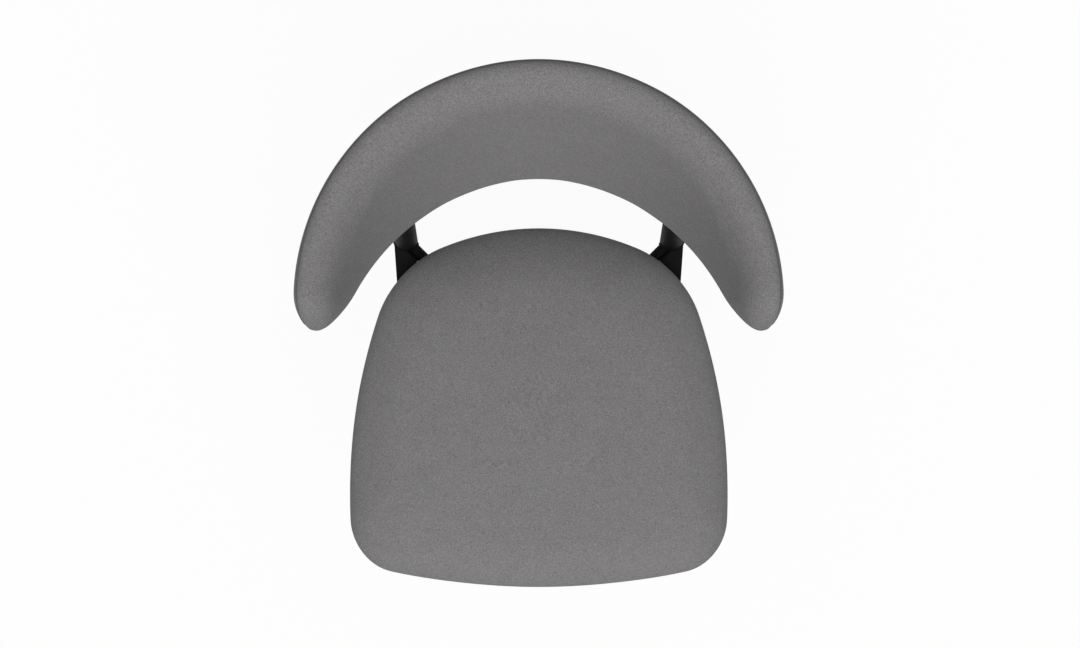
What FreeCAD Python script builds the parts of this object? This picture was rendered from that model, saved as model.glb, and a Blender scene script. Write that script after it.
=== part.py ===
"""Upholstered side chair: bent steel tube frame, D-shaped seat and a wrap-round back.

Frame: +Z up, seat front towards -Y, origin on the floor under the middle of the outline. Millimetres.
"""
import FreeCAD, Part
import math
import os

import Sketcher

V = FreeCAD.Vector
UP = V(0, 0, 1)
TINY = 1e-6
doc = FreeCAD.newDocument("side_chair")
sheet = doc.addObject("Spreadsheet::Sheet", "sheet")

# Driving sizes in millimetres, angles in degrees
SIZES = (
    ("overall_height", 785),
    ("overall_depth", 592),
    ("seat_width", 452),
    ("seat_depth", 430),
    ("seat_base", 412),
    ("seat_thickness", 64),
    ("seat_crown", 12),
    ("seat_rear_radius", 299),
    ("seat_rear_corner", 137),
    ("seat_side_radius", 631),
    ("seat_front_corner", 67),
    ("seat_front_radius", 761),
    ("seat_widest_from_front", 121),
    ("seat_top_edge", 27),
    ("seat_bottom_edge", 17),
    ("seat_board_thickness", 12),
    ("seat_board_inset", 24),
    ("lining_thickness", 1),
    ("lining_inset", 18),
    ("cover_thickness", 2),
    ("soft_gap", 0.3),
    ("back_radius", 255),
    ("back_thickness", 48),
    ("back_bulge", 5),
    ("back_bottom", 522),
    ("back_inner_radius", 140),
    ("arm_inner_radius", 201),
    ("arm_bottom", 640),
    ("arm_sweep", 97),
    ("arm_tip_length", 40),
    ("core_thickness", 9),
    ("core_forward", 5),
    ("core_edge", 8),
    ("core_sweep", 84),
    ("tube_diameter", 28),
    ("tube_wall", 2),
    ("rear_post_x", 161),
    ("rear_bend_drop", 40),
    ("rear_bend_radius", 90),
    ("rear_foot_x", 200),
    ("rear_foot_from_rear", 88),
    ("front_leg_x", 165),
    ("front_foot_x", 184),
    ("front_foot_from_front", 62),
    ("hub_from_front", 255),
    ("hub_width", 30),
    ("hub_wall", 3),
    ("cross_arm_diameter", 15),
    ("cross_arm_wall", 2),
    ("weld_gap", 0.2),
    ("plate_thickness", 4),
    ("hub_plate_width", 84),
    ("hub_plate_corner", 10),
    ("front_plate_width", 44),
    ("front_plate_length", 72),
    ("front_plate_corner", 10),
    ("bracket_reach", 128),
    ("bracket_taper", 9),
    ("bracket_corner", 6),
    ("hub_bolt_spacing", 68),
    ("front_bolt_spacing", 50),
    ("bracket_bolt_reach", 92),
    ("bracket_bolt_spacing", 22),
    ("back_fixing_angle", 51),
    ("back_fixing_height", 92),
    ("tongue_width", 26),
    ("tongue_length", 120),
    ("tongue_thickness", 5),
    ("tongue_corner", 8),
    ("tongue_gap", 1.4),
    ("tongue_bolt_spacing", 60),
    ("bolt_diameter", 6),
    ("bolt_gap", 0.3),
    ("bolt_head_diameter", 12),
    ("bolt_head_height", 4),
    ("washer_diameter", 16),
    ("washer_thickness", 1.5),
    ("nut_barrel_diameter", 8.4),
    ("nut_flange_diameter", 19),
    ("nut_flange_thickness", 1.5),
    ("glide_flange", 5),
    ("glide_plug", 22),
    ("glide_lip", 0.6),
)
for row, (name, value) in enumerate(SIZES, start=1):
    sheet.set("A%d" % row, name)
    sheet.set("B%d" % row, str(value))
    sheet.setAlias("B%d" % row, name)
doc.recompute()


def size(alias):
    """The value of one driving size."""
    return float(sheet.get(alias))


NODES = []


def node(obj, label):
    """Name a finished sub-part and put it on the list that is written out."""
    obj.Label = label
    NODES.append(obj)
    return obj


def bind(obj, **formulas):
    """Bind properties to formulas of the sheet's cells, where "#" stands for the sheet."""
    for prop, formula in formulas.items():
        obj.setExpression(prop, formula.replace("#", "sheet."))


def new_body(name):
    return doc.addObject("PartDesign::Body", name)


def origin_plane(body, role):
    return [f for f in body.Origin.OriginFeatures if f.Role == role][0]


def new_sketch(body, name, role="XY_Plane", lift=0.0):
    """A sketch on one of the body's origin planes, lifted along the plane's normal."""
    sketch = body.newObject("Sketcher::SketchObject", name)
    sketch.AttachmentSupport = [(origin_plane(body, role), "")]
    sketch.MapMode = "FlatFace"
    sketch.AttachmentOffset = FreeCAD.Placement(V(0, 0, lift), FreeCAD.Rotation())
    return sketch


def add_circle(sketch, radius_name, formula, radius, centre=V(0, 0, 0)):
    """A circle whose radius follows a formula of the sheet's cells."""
    circle = sketch.addGeometry(Part.Circle(centre, UP, radius), False)
    if centre.Length < TINY:
        sketch.addConstraint(Sketcher.Constraint("Coincident", circle, 3, -1, 1))
    else:
        sketch.addConstraint(Sketcher.Constraint("DistanceX", -1, 1, circle, 3, centre.x))
        sketch.addConstraint(Sketcher.Constraint("DistanceY", -1, 1, circle, 3, centre.y))
    limit = sketch.addConstraint(Sketcher.Constraint("Radius", circle, radius))
    sketch.renameConstraint(limit, radius_name)
    bind(sketch, **{"Constraints." + radius_name: formula})
    return circle


def add_polygon(sketch, points):
    """A closed outline of straight lines through the points."""
    count = len(points)
    first = None
    for i in range(count):
        line = sketch.addGeometry(Part.LineSegment(points[i], points[(i + 1) % count]), False)
        first = line if first is None else first
    for i in range(count):
        sketch.addConstraint(Sketcher.Constraint("Coincident", first + i, 2, first + (i + 1) % count, 1))
    return first


def pad(body, sketch, formula):
    feature = body.newObject("PartDesign::Pad", sketch.Name + "_pad")
    feature.Profile = sketch
    bind(feature, Length=formula)
    return feature


def cut(name, base, tool):
    obj = doc.addObject("Part::Cut", name)
    obj.Base = base
    obj.Tool = tool
    return obj


def fuse(name, shapes):
    obj = doc.addObject("Part::MultiFuse", name)
    obj.Shapes = shapes
    return obj


def feature(name, shape):
    """A sub-part whose shape is worked out here from the sheet's sizes."""
    obj = doc.addObject("Part::Feature", name)
    obj.Shape = shape
    obj.Placement = FreeCAD.Placement()
    return obj


def cylinder(name, radius, height, base, direction):
    """A cylinder bound to the sheet, standing on a point along a direction."""
    obj = doc.addObject("Part::Cylinder", name)
    bind(obj, Radius=radius, Height=height)
    obj.Placement = FreeCAD.Placement(base, FreeCAD.Rotation(UP, direction))
    return obj


def level(spot, height):
    """An upright placement over a spot of the plan at a height."""
    return FreeCAD.Placement(V(spot.x, spot.y, height), FreeCAD.Rotation())


SIDES = (("left", -1), ("right", 1))
ARM_TURN = 45.0
STACK = size("lining_thickness") + size("plate_thickness")
PLATE_Z = size("seat_base") - STACK
ARM_Z = PLATE_Z - size("cross_arm_diameter") / 2
TUBE_R = size("tube_diameter") / 2
SEAT_FRONT = -size("overall_depth") / 2
SEAT_MID = SEAT_FRONT + size("seat_depth") / 2
HUB = V(0, SEAT_FRONT + size("hub_from_front"), ARM_Z)
FRONT_FOOT_Y = SEAT_FRONT + size("front_foot_from_front")
REAR_FOOT_Y = size("overall_depth") / 2 - size("rear_foot_from_rear")


# Seat outline: a tangent chain of eight arcs, rear arc, corners, sides, corners and front arc


def meeting(centre_a, reach_a, centre_b, reach_b, toward):
    """The point at two distances from two centres, on the side that lies towards a direction."""
    span = centre_b - centre_a
    along = (reach_a ** 2 - reach_b ** 2 + span.Length ** 2) / (2 * span.Length)
    across = math.sqrt(reach_a ** 2 - along ** 2)
    axis = V(span).normalize()
    side = UP.cross(axis) * across
    foot = centre_a + axis * along
    return max((foot + side, foot - side), key=lambda point: point.dot(toward))


def bearing(centre, point):
    return math.atan2(point.y - centre.y, point.x - centre.x)


def seat_arcs(inset):
    """Centre, radius, start and end angle of each arc, counter-clockwise from the front arc."""
    rear_r = size("seat_rear_radius")
    rear_corner = size("seat_rear_corner")
    side_r = size("seat_side_radius")
    front_corner = size("seat_front_corner")
    front_r = size("seat_front_radius")
    rear = V(0, SEAT_FRONT + size("seat_depth") - rear_r, 0)
    side = V(size("seat_width") / 2 - side_r, SEAT_FRONT + size("seat_widest_from_front"), 0)
    front = V(0, SEAT_FRONT + front_r, 0)
    corner_a = meeting(rear, rear_r - rear_corner, side, side_r - rear_corner, V(1, 1, 0))
    corner_b = meeting(side, side_r - front_corner, front, front_r - front_corner, V(1, -1, 0))
    at_rear = bearing(rear, corner_a)
    at_side = bearing(side, corner_a)
    at_low = bearing(side, corner_b)
    at_front = bearing(front, corner_b)
    right = (
        (corner_b, front_corner - inset, at_front, at_low),
        (side, side_r - inset, at_low, at_side),
        (corner_a, rear_corner - inset, at_side, at_rear),
    )
    left = [(V(-c.x, c.y, 0), r, math.pi - b, math.pi - a) for c, r, a, b in reversed(right)]
    front_arc = (front, front_r - inset, -math.pi - at_front, at_front)
    rear_arc = (rear, rear_r - inset, at_rear, math.pi - at_rear)
    return [front_arc] + list(right) + [rear_arc] + left


ARC_NAMES = ("front", "corner_fr", "side_r", "corner_rr", "rear", "corner_rl", "side_l", "corner_fl")
ARC_CELLS = ("front_radius", "front_corner", "side_radius", "rear_corner",
             "rear_radius", "rear_corner", "side_radius", "front_corner")


def seat_outline(body, name, inset_formula, inset, lift):
    """A sketch of the seat's outline, drawn in by an inset, at a height."""
    sketch = new_sketch(body, name, lift=lift)
    arcs = seat_arcs(inset)
    for centre, radius, start, end in arcs:
        sketch.addGeometry(Part.ArcOfCircle(Part.Circle(centre, UP, radius), start, end), False)
    for i in range(len(arcs)):
        sketch.addConstraint(Sketcher.Constraint("Tangent", i, 2, (i + 1) % len(arcs), 1))
    for i, (arc_name, cell) in enumerate(zip(ARC_NAMES, ARC_CELLS)):
        limit = sketch.addConstraint(Sketcher.Constraint("Radius", i, arcs[i][1]))
        sketch.renameConstraint(limit, arc_name)
        bind(sketch, **{"Constraints." + arc_name: "#seat_%s - (%s)" % (cell, inset_formula)})
    return sketch


def edges_between(solid, low, high):
    """Names of the edges whose ends all lie between two heights."""
    names = []
    for i, edge in enumerate(solid.Shape.Edges, start=1):
        heights = [vertex.Z for vertex in edge.Vertexes]
        if min(heights) > low - TINY and max(heights) < high + TINY:
            names.append("Edge%d" % i)
    return names


def seat_form(name, inset_formula, inset):
    """A crowned seat form: padded outline, domed top, round upper edge and drawn-in lower edge."""
    body = new_body(name)
    base = size("seat_base")
    outline = seat_outline(body, name + "_outline", inset_formula, inset, base)
    pad(body, outline, "#seat_thickness")
    half = size("seat_depth") / 2
    dome = (half ** 2 + size("seat_crown") ** 2) / (2 * size("seat_crown"))
    top = base + size("seat_thickness")
    reach = size("seat_width") / 2 + half
    centre = V(0, top - dome, 0)
    radius = dome - inset
    rim = math.acos(reach / radius)
    crest = V(0, centre.y + radius, 0)
    edge = centre + V(reach, radius * math.sin(rim), 0)
    ceiling = top + size("seat_crown")
    profile = new_sketch(body, name + "_dome", "XZ_Plane", -SEAT_MID)
    profile.addGeometry(Part.ArcOfCircle(Part.Circle(centre, UP, radius), rim, math.pi / 2), False)
    corners = (crest, V(0, ceiling, 0), V(reach, ceiling, 0), edge)
    for a, b in zip(corners, corners[1:]):
        profile.addGeometry(Part.LineSegment(a, b), False)
    for i in range(4):
        profile.addConstraint(Sketcher.Constraint("Coincident", i, 2, (i + 1) % 4, 1))
    limit = profile.addConstraint(Sketcher.Constraint("Radius", 0, radius))
    profile.renameConstraint(limit, "dome")
    flat = "(#seat_depth / 2) ^ 2 + #seat_crown ^ 2"
    bind(profile, **{"Constraints.dome": "(%s) / (2 * #seat_crown) - (%s)" % (flat, inset_formula)})
    groove = body.newObject("PartDesign::Groove", name + "_crown")
    groove.Profile = profile
    groove.ReferenceAxis = (profile, ["V_Axis"])
    groove.Angle = 360
    doc.recompute()
    middle = base + size("seat_thickness") / 2
    upper = edges_between(groove, middle, top)
    round_top = body.newObject("PartDesign::Fillet", name + "_top_edge")
    round_top.Base = (groove, upper)
    bind(round_top, Radius="#seat_top_edge - (%s)" % inset_formula)
    doc.recompute()
    round_low = body.newObject("PartDesign::Fillet", name + "_bottom_edge")
    round_low.Base = (round_top, edges_between(round_top, base, base))
    bind(round_low, Radius="#seat_bottom_edge")
    doc.recompute()
    return body


def seat_sheet(name, inset_cell, thickness_cell, lift, hole_formula, hole_radius):
    """A flat piece of the seat's outline with a hole at every seat bolt."""
    body = new_body(name)
    sketch = seat_outline(body, name + "_outline", "#" + inset_cell, size(inset_cell), lift)
    for i, spot in enumerate(SEAT_BOLTS):
        add_circle(sketch, "hole_%d" % i, hole_formula, hole_radius, spot)
    pad(body, sketch, "#" + thickness_cell)
    return body


def hub_bolt_spots():
    """Bolts of the hub plate about its middle, one between each pair of cross arms."""
    half = size("hub_bolt_spacing") / 2
    return [V(half, 0, 0), V(0, half, 0), V(-half, 0, 0), V(0, -half, 0)]


def seat_bolt_spots():
    """Where the seat's bolts stand in plan: hub plate, front leg plates and rear brackets."""
    spots = [V(spot.x, spot.y + HUB.y, 0) for spot in hub_bolt_spots()]
    for _, side in SIDES:
        front = front_leg_top(side)
        for dy in (-size("front_bolt_spacing") / 2, size("front_bolt_spacing") / 2):
            spots.append(V(front.x, front.y + dy, 0))
        post = rear_joint(side)
        lane = post.x - side * size("bracket_taper") / 2
        for step in (0, size("bracket_bolt_spacing")):
            spots.append(V(lane, post.y - size("bracket_bolt_reach") - step, 0))
    return spots


def front_leg_top(side):
    """Axis of a front leg at the height where the cross arm meets it."""
    reach = size("front_leg_x")
    return V(side * reach, HUB.y - reach, ARM_Z)


def rear_joint(side):
    """Axis of a back post at the height where the cross arm meets it."""
    reach = size("rear_post_x")
    return V(side * reach, HUB.y + reach, ARM_Z)


SEAT_BOLTS = seat_bolt_spots()
BOLT_R = size("bolt_diameter") / 2

# Seat: cover, foam, board and lining
cover_solid = seat_form("seat_cover_outside", "0", 0.0)
cover_space = seat_form("seat_cover_inside", "#cover_thickness", size("cover_thickness"))
node(cut("seat_cover_cut", cover_solid, cover_space), "seat_cover")

foam_inset = size("cover_thickness") + size("soft_gap")
foam = seat_form("seat_foam_form", "#cover_thickness + #soft_gap", foam_inset)
recess_inset = size("seat_board_inset") - size("soft_gap")
recess = seat_outline(foam, "seat_foam_recess", "#seat_board_inset - #soft_gap", recess_inset,
                      size("seat_base"))
recess_cut = foam.newObject("PartDesign::Pocket", "seat_foam_pocket")
recess_cut.Profile = recess
recess_cut.Reversed = True
bind(recess_cut, Length="#seat_board_thickness + #soft_gap")
node(foam, "seat_foam")

board = seat_sheet("seat_board_body", "seat_board_inset", "seat_board_thickness", size("seat_base"),
                   "#nut_barrel_diameter / 2 + #bolt_gap", size("nut_barrel_diameter") / 2 + size("bolt_gap"))
board_top = size("seat_base") + size("seat_board_thickness")
sinks = new_sketch(board, "seat_board_sinks", lift=board_top)
sink_radius = size("nut_flange_diameter") / 2 + size("bolt_gap")
for i, spot in enumerate(SEAT_BOLTS):
    add_circle(sinks, "sink_%d" % i, "#nut_flange_diameter / 2 + #bolt_gap", sink_radius, spot)
sink_cut = board.newObject("PartDesign::Pocket", "seat_board_sink_cut")
sink_cut.Profile = sinks
bind(sink_cut, Length="#nut_flange_thickness")
node(board, "seat_board")

lining_z = size("seat_base") - size("lining_thickness")
node(seat_sheet("seat_lining_body", "lining_inset", "lining_thickness", lining_z,
                "#bolt_diameter / 2 + #bolt_gap", BOLT_R + size("bolt_gap")), "seat_lining")


# Back: lofts through upright sections that stand round a centre; a section's own axes are
# "along", from its lower end to its upper end, and "out", away from the sitter


BACK_CENTRE = V(0, size("overall_depth") / 2 - size("back_radius"), 0)
INNER_POWER = 2.15
BOTTOM_POWER = 2.5
QUARTER = 90.0
MAIN_ANGLES = (0, 15, 30, 45, 58, 70, 80)
LEAST_STEP = 3.0
TIP_SCALES = (0.97, 0.85, 0.62, 0.34)


class Section:
    """One upright section of the back at an angle from the rear, shrunk by a scale at the arm tips."""

    def __init__(self, angle, scale=1.0):
        turn = math.radians(angle)
        share = abs(angle) / QUARTER
        self.radial = V(math.sin(turn), math.cos(turn), 0)
        half = size("back_thickness") / 2
        end = half - size("back_bulge")
        inner = size("back_inner_radius")
        inner += (size("arm_inner_radius") - inner) * share ** INNER_POWER
        low = size("back_bottom")
        low += (size("arm_bottom") - low) * share ** BOTTOM_POWER
        foot = BACK_CENTRE + self.radial * (inner + half) + UP * (low + end)
        head = BACK_CENTRE + self.radial * (size("back_radius") - end) + UP * (size("overall_height") - end)
        self.along = (head - foot).normalize()
        self.side = self.radial.cross(UP)
        self.out = self.along.cross(self.side).normalize()
        if self.out.dot(self.radial) < 0:
            self.out = -self.out
        middle = (foot + head) / 2
        self.length = (head - foot).Length * scale
        self.foot = middle - self.along * (self.length / 2)
        self.end = end * scale
        self.half = half * scale

    def point(self, along, out):
        return self.foot + self.along * along + self.out * out

    def ring(self, inset):
        """The closed cushion section: two bulged faces and round ends of two arcs each."""
        end = self.end - inset
        half = self.half - inset
        length = self.length
        slant = end * math.sqrt(0.5)
        arcs = (
            ((0, -end), (length / 2, -half), (length, -end)),
            ((length, -end), (length + slant, -slant), (length + end, 0)),
            ((length + end, 0), (length + slant, slant), (length, end)),
            ((length, end), (length / 2, half), (0, end)),
            ((0, end), (-slant, slant), (-end, 0)),
            ((-end, 0), (-slant, -slant), (0, -end)),
        )
        return self.wire(arcs)

    def slab(self, inset, gap, facing):
        """The foam on one face: from the core's face to the cushion section drawn in by an inset."""
        end = self.end - inset
        half = self.half - inset
        near = size("core_thickness") / 2 + gap - facing * size("core_forward")
        length = self.length
        reach = math.sqrt(end ** 2 - near ** 2)
        turn = (math.asin(near / end) + math.pi / 2) / 2
        mid_along = end * math.cos(turn)
        mid_out = end * math.sin(turn)
        arcs = (
            ((-reach, facing * near), (-mid_along, facing * mid_out), (0, facing * end)),
            ((0, facing * end), (length / 2, facing * half), (length, facing * end)),
            ((length, facing * end), (length + mid_along, facing * mid_out), (length + reach, facing * near)),
        )
        flat = ((length + reach, facing * near), (-reach, facing * near))
        return self.wire(arcs, flat)

    def board(self):
        """The plywood core's rectangle."""
        half = size("core_thickness") / 2
        low = size("core_edge") - self.end
        high = self.length - low
        front, rear = -half - size("core_forward"), half - size("core_forward")
        corners = ((low, front), (high, front), (high, rear), (low, rear))
        points = [self.point(*corner) for corner in corners]
        return Part.makePolygon(points + points[:1])

    def wire(self, arcs, flat=None):
        edges = [Part.Arc(*[self.point(*p) for p in arc]).toShape() for arc in arcs]
        if flat:
            edges.append(Part.LineSegment(*[self.point(*p) for p in flat]).toShape())
        return Part.Wire(edges)


def back_stations(trim, scales):
    """Angles and scales of the sections from one arm tip to the other, short of the tips by a trim."""
    tip = math.degrees(size("arm_tip_length") / (size("back_radius") - size("back_thickness") / 2))
    start = size("arm_sweep") - tip
    half = [(angle, 1.0) for angle in MAIN_ANGLES if angle < start - LEAST_STEP]
    half.append((start - trim, 1.0))
    half += [(start - trim + tip * math.sqrt(1 - scale ** 2), scale) for scale in scales]
    return [(-angle, scale) for angle, scale in reversed(half[1:])] + half


def back_loft(profile, stations):
    return Part.makeLoft([profile(Section(*station)) for station in stations], True, False)


full = back_stations(0.0, TIP_SCALES)
trim = math.degrees(size("cover_thickness") / (size("back_radius") - size("back_thickness") / 2))
inner_full = back_stations(trim, TIP_SCALES[:-1])
back_outside = back_loft(lambda s: s.ring(0.0), full)
back_inside = back_loft(lambda s: s.ring(size("cover_thickness")), inner_full)
foam_inset = size("cover_thickness") + size("soft_gap")
foam_stations = back_stations(2 * trim, TIP_SCALES[:-2])
foam_front = back_loft(lambda s: s.slab(foam_inset, size("soft_gap"), -1), foam_stations)
foam_rear = back_loft(lambda s: s.slab(foam_inset, size("soft_gap"), 1), foam_stations)
core_angles = [a for a in MAIN_ANGLES if a < size("core_sweep") - LEAST_STEP] + [size("core_sweep")]
core_stations = [(-a, 1.0) for a in reversed(core_angles[1:])] + [(a, 1.0) for a in core_angles]
core = back_loft(lambda s: s.board(), core_stations)


# Frame: bent rear legs with the back posts, front legs, cross arms, hub, plates and brackets


def axes(origin, x_axis, y_axis):
    """A placement whose local X and Y point along two square directions."""
    return FreeCAD.Placement(origin, FreeCAD.Rotation(x_axis, y_axis, x_axis.cross(y_axis), "ZXY"))


FIXING_ROUNDS = 8


class BackFixing:
    """Where a flat steel tongue lies on the rear of the back's core, and the post that carries it."""

    def __init__(self, side):
        section = Section(side * size("back_fixing_angle"))
        self.out = section.out
        core_rear = size("core_thickness") / 2 - size("core_forward")
        stand_off = core_rear + size("tongue_gap") + size("tongue_thickness") / 2
        self.middle = section.point(size("back_fixing_height"), stand_off)
        joint = rear_joint(side)
        self.rise = section.along
        for _ in range(FIXING_ROUNDS):
            self.post_top = self.middle - self.rise * (size("tongue_length") / 2)
            self.post = (self.post_top - joint).normalize()
            self.rise = (self.post - self.out * self.post.dot(self.out)).normalize()
        self.corner = joint - self.post * size("rear_bend_drop")
        self.foot = V(side * size("rear_foot_x"), REAR_FOOT_Y, 0)


def bent_tube(name, fixing):
    """A tube along a straight leg, a bend and a straight post, in the plane of the leg and the post."""
    body = new_body(name)
    leg = fixing.foot - fixing.corner
    leg_axis = V(leg).normalize()
    in_plane = (leg_axis - fixing.post * leg_axis.dot(fixing.post)).normalize()
    body.Placement = axes(fixing.corner, in_plane, fixing.post.cross(in_plane))
    turn = math.pi - leg_axis.getAngle(fixing.post)
    radius = size("rear_bend_radius")
    tangent = radius * math.tan(turn / 2)
    upper = (fixing.post_top - fixing.corner).Length
    lower = leg.Length + size("tube_diameter")
    path = new_sketch(body, name + "_path", "XZ_Plane")
    start = V(0, upper, 0)
    arc_start = V(0, tangent, 0)
    arc_end = V(math.sin(turn), -math.cos(turn), 0) * tangent
    finish = V(math.sin(turn), -math.cos(turn), 0) * lower
    path.addGeometry(Part.LineSegment(start, arc_start), False)
    bend = Part.Circle(V(radius, tangent, 0), UP, radius)
    path.addGeometry(Part.ArcOfCircle(bend, math.pi, math.pi + turn), False)
    path.addGeometry(Part.LineSegment(arc_end, finish), False)
    path.addConstraint(Sketcher.Constraint("Tangent", 0, 2, 1, 1))
    path.addConstraint(Sketcher.Constraint("Tangent", 1, 2, 2, 1))
    limit = path.addConstraint(Sketcher.Constraint("Radius", 1, radius))
    path.renameConstraint(limit, "bend")
    bind(path, **{"Constraints.bend": "#rear_bend_radius"})
    sweeps = (
        ("AdditivePipe", "#tube_diameter / 2", TUBE_R),
        ("SubtractivePipe", "#tube_diameter / 2 - #tube_wall", TUBE_R - size("tube_wall")),
    )
    for kind, formula, value in sweeps:
        profile = new_sketch(body, name + "_" + kind.lower(), lift=upper)
        add_circle(profile, "tube", formula, value)
        pipe = body.newObject("PartDesign::" + kind, name + "_" + kind)
        pipe.Profile = profile
        pipe.Spine = (path, ["Edge1", "Edge2", "Edge3"])
    return body


def post_space(name, fixing, gap_cell):
    """A round bar along a back post, thicker than the tube by a gap, that makes room in its neighbours."""
    bar = doc.addObject("Part::Cylinder", name)
    bind(bar, Radius="#tube_diameter / 2 + #" + gap_cell)
    bar.Height = (fixing.post_top - fixing.corner).Length + size(gap_cell)
    bar.Placement = FreeCAD.Placement(fixing.corner, FreeCAD.Rotation(UP, fixing.post))
    return bar


def straight_leg(name, side, grow_formula, grow, hollow):
    """A front leg: a tube lofted between a level ring under its plate and one just above the floor."""
    body = new_body(name)
    joint = front_leg_top(side)
    foot = V(side * size("front_foot_x"), FRONT_FOOT_Y, 0)
    slope = (joint - foot) / ARM_Z
    levels = (size("glide_flange"), PLATE_Z)
    lofts = [("AdditiveLoft", "#tube_diameter / 2 + " + grow_formula, TUBE_R + grow)]
    if hollow:
        lofts.append(("SubtractiveLoft", "#tube_diameter / 2 - #tube_wall", TUBE_R - size("tube_wall")))
    for kind, formula, value in lofts:
        rings = []
        for i, level in enumerate(levels):
            ring = new_sketch(body, "%s_%s_%d" % (name, kind.lower(), i), lift=level)
            spot = foot + slope * level
            add_circle(ring, "tube", formula, value, V(spot.x, spot.y, 0))
            rings.append(ring)
        loft = body.newObject("PartDesign::" + kind, name + "_" + kind)
        loft.Profile = rings[0]
        loft.Sections = rings[1:]
    return body


def add_rectangle(sketch, width_cell, height_cell):
    """A rectangle about the sketch's origin whose sides follow two cells."""
    width, height = size(width_cell) / 2, size(height_cell) / 2
    corners = (V(-width, -height, 0), V(width, -height, 0), V(width, height, 0), V(-width, height, 0))
    first = add_polygon(sketch, corners)
    for i, kind in enumerate(("Horizontal", "Vertical", "Horizontal", "Vertical")):
        sketch.addConstraint(Sketcher.Constraint(kind, first + i))
    sketch.addConstraint(Sketcher.Constraint("Symmetric", first, 1, first + 2, 1, -1, 1))
    for limit_name, edge, cell in (("width", first, width_cell), ("height", first + 1, height_cell)):
        limit = sketch.addConstraint(Sketcher.Constraint("Distance", edge, size(cell)))
        name = "%s_%d" % (limit_name, first)
        sketch.renameConstraint(limit, name)
        bind(sketch, **{"Constraints." + name: "#" + cell})


def round_corners(body, base, cell, keep=lambda edge: True):
    """Round the edges that stand square to the plate."""
    doc.recompute()
    names = []
    for i, edge in enumerate(base.Shape.Edges, start=1):
        upright = isinstance(edge.Curve, Part.Line) and abs(edge.tangentAt(edge.FirstParameter).z) > 1 - TINY
        if upright and keep(edge):
            names.append("Edge%d" % i)
    rounding = body.newObject("PartDesign::Fillet", base.Name + "_corners")
    rounding.Base = (base, names)
    bind(rounding, Radius="#" + cell)


def plate(name, width_cell, height_cell, corner_cell, holes, placement, thickness_cell="plate_thickness"):
    """A flat plate with rounded corners and bolt holes."""
    body = new_body(name)
    sketch = new_sketch(body, name + "_outline")
    add_rectangle(sketch, width_cell, height_cell)
    for i, spot in enumerate(holes):
        add_circle(sketch, "hole_%d" % i, "#bolt_diameter / 2 + #bolt_gap", BOLT_R + size("bolt_gap"), spot)
    slab = pad(body, sketch, "#" + thickness_cell)
    round_corners(body, slab, corner_cell)
    body.Placement = placement
    return body


def cross_arm(name, end, leg_space):
    """A round tube from a flat of the hub to a leg, notched to the leg's round."""
    body = new_body(name + "_tube")
    direction = V(end - HUB).normalize()
    start = HUB + direction * (size("hub_width") / 2)
    sketch = new_sketch(body, name + "_ring")
    add_circle(sketch, "outside", "#cross_arm_diameter / 2", size("cross_arm_diameter") / 2)
    bore = size("cross_arm_diameter") / 2 - size("cross_arm_wall")
    add_circle(sketch, "bore", "#cross_arm_diameter / 2 - #cross_arm_wall", bore)
    tube = body.newObject("PartDesign::Pad", name + "_pad")
    tube.Profile = sketch
    tube.Length = (end - start).Length
    body.Placement = FreeCAD.Placement(start, FreeCAD.Rotation(UP, direction))
    return node(cut(name + "_notch", body, leg_space), name)


def bracket(name, side, leg_space):
    """A tapered gusset plate from the back post forward under the seat board, beside the cross arm."""
    body = new_body(name + "_plate")
    post = rear_joint(side)
    reach = size("bracket_reach")
    outer = TUBE_R - size("bracket_taper")
    beside_arm = (size("cross_arm_diameter") / 2 + size("weld_gap")) / math.cos(math.radians(ARM_TURN))
    corners = (V(beside_arm, 0, 0), V(-TUBE_R, -TUBE_R - beside_arm, 0), V(-TUBE_R, -reach, 0),
               V(outer, -reach, 0), V(TUBE_R, 0, 0))
    corners = [V(side * c.x, c.y, 0) for c in corners]
    sketch = new_sketch(body, name + "_outline")
    add_polygon(sketch, corners)
    lane = -side * size("bracket_taper") / 2
    for i, step in enumerate((0, size("bracket_bolt_spacing"))):
        spot = V(lane, -size("bracket_bolt_reach") - step, 0)
        add_circle(sketch, "hole_%d" % i, "#bolt_diameter / 2 + #bolt_gap", BOLT_R + size("bolt_gap"), spot)
    slab = pad(body, sketch, "#plate_thickness")
    round_corners(body, slab, "bracket_corner", lambda edge: edge.CenterOfMass.y < -reach / 2)
    body.Placement = level(post, PLATE_Z)
    return node(cut(name + "_notch", body, leg_space), name)


below_floor = doc.addObject("Part::Box", "below_floor")
bind(below_floor, Length="2 * #overall_depth", Width="2 * #overall_depth", Height="#overall_height")
below_floor.Placement.Base = V(-size("overall_depth"), -size("overall_depth"),
                               size("glide_flange") - size("overall_height"))

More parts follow.
